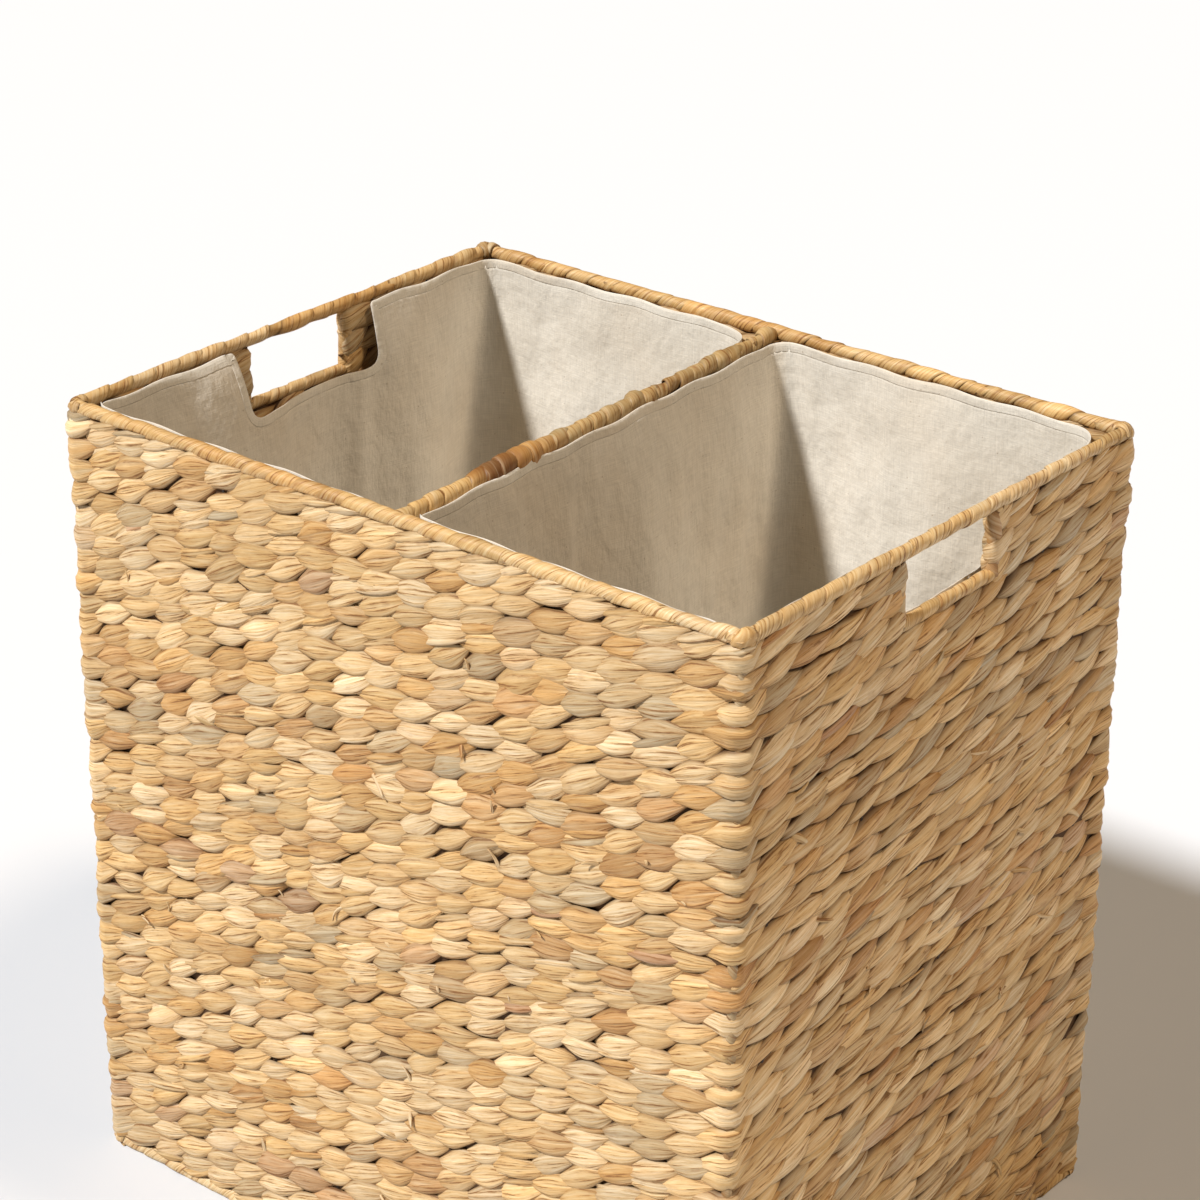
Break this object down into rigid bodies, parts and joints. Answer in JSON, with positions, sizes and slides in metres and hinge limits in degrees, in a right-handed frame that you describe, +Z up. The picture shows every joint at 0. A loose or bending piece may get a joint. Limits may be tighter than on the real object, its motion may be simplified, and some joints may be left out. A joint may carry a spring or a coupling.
{
  "type": "laundry basket",
  "caption": "Open-top rectangular laundry basket of twined water hyacinth on a steel frame, split by a wrapped divider, with a cloth liner in each half and a hand hole in each end.",
  "frame": {"origin": "centre of the rectangular footprint, on the surface the basket stands on", "axes": "+Z up through the open top; +X along the wide walls to one hand-hole wall; -Y to a wide wall"},
  "size_m": [0.6, 0.45, 0.62],
  "materials": {
    "steel_frame": "satin black paint",
    "hyacinth_weave": "natural dried water hyacinth strands, uncoated, golden straw with brown and grey-green streaks",
    "hyacinth_wrap": "flat hyacinth strips wound tightly round the rods, slightly darker than the weave",
    "cotton_liner": "unbleached plain-weave cotton with small seed flecks"
  },
  "bodies": {
    "basket": {"front_frame": "steel_frame", "back_frame": "steel_frame", "left_frame": "steel_frame", "right_frame": "steel_frame", "front_left_corner_post": "steel_frame", "front_right_corner_post": "steel_frame", "back_left_corner_post": "steel_frame", "back_right_corner_post": "steel_frame", "divider_rod": "steel_frame", "bottom_grid": "steel_frame", "front_weave": "hyacinth_weave", "back_weave": "hyacinth_weave", "left_weave": "hyacinth_weave", "right_weave": "hyacinth_weave", "bottom_weave": "hyacinth_weave", "front_rim_wrap": "hyacinth_wrap", "back_rim_wrap": "hyacinth_wrap", "left_rim_wrap": "hyacinth_wrap", "right_rim_wrap": "hyacinth_wrap", "front_lower_edge_wrap": "hyacinth_wrap", "back_lower_edge_wrap": "hyacinth_wrap", "left_lower_edge_wrap": "hyacinth_wrap", "right_lower_edge_wrap": "hyacinth_wrap", "left_handle_bar_wrap": "hyacinth_wrap", "left_handle_front_post_wrap": "hyacinth_wrap", "left_handle_back_post_wrap": "hyacinth_wrap", "right_handle_bar_wrap": "hyacinth_wrap", "right_handle_front_post_wrap": "hyacinth_wrap", "right_handle_back_post_wrap": "hyacinth_wrap", "divider_wrap": "hyacinth_wrap"},
    "left_liner": {"left_liner_front_panel": "cotton_liner", "left_liner_outer_panel": "cotton_liner", "left_liner_back_panel": "cotton_liner", "left_liner_divider_panel": "cotton_liner", "left_liner_bottom_panel": "cotton_liner"},
    "right_liner": {"right_liner_front_panel": "cotton_liner", "right_liner_outer_panel": "cotton_liner", "right_liner_back_panel": "cotton_liner", "right_liner_divider_panel": "cotton_liner", "right_liner_bottom_panel": "cotton_liner"}
  },
  "joints": [
    {"name": "left_liner_lift", "type": "slide", "parent": "basket", "child": "left_liner", "axis": [0, 0, 1], "range_m": [0, 0.62]},
    {"name": "right_liner_lift", "type": "slide", "parent": "basket", "child": "right_liner", "axis": [0, 0, 1], "range_m": [0, 0.62]}
  ]
}
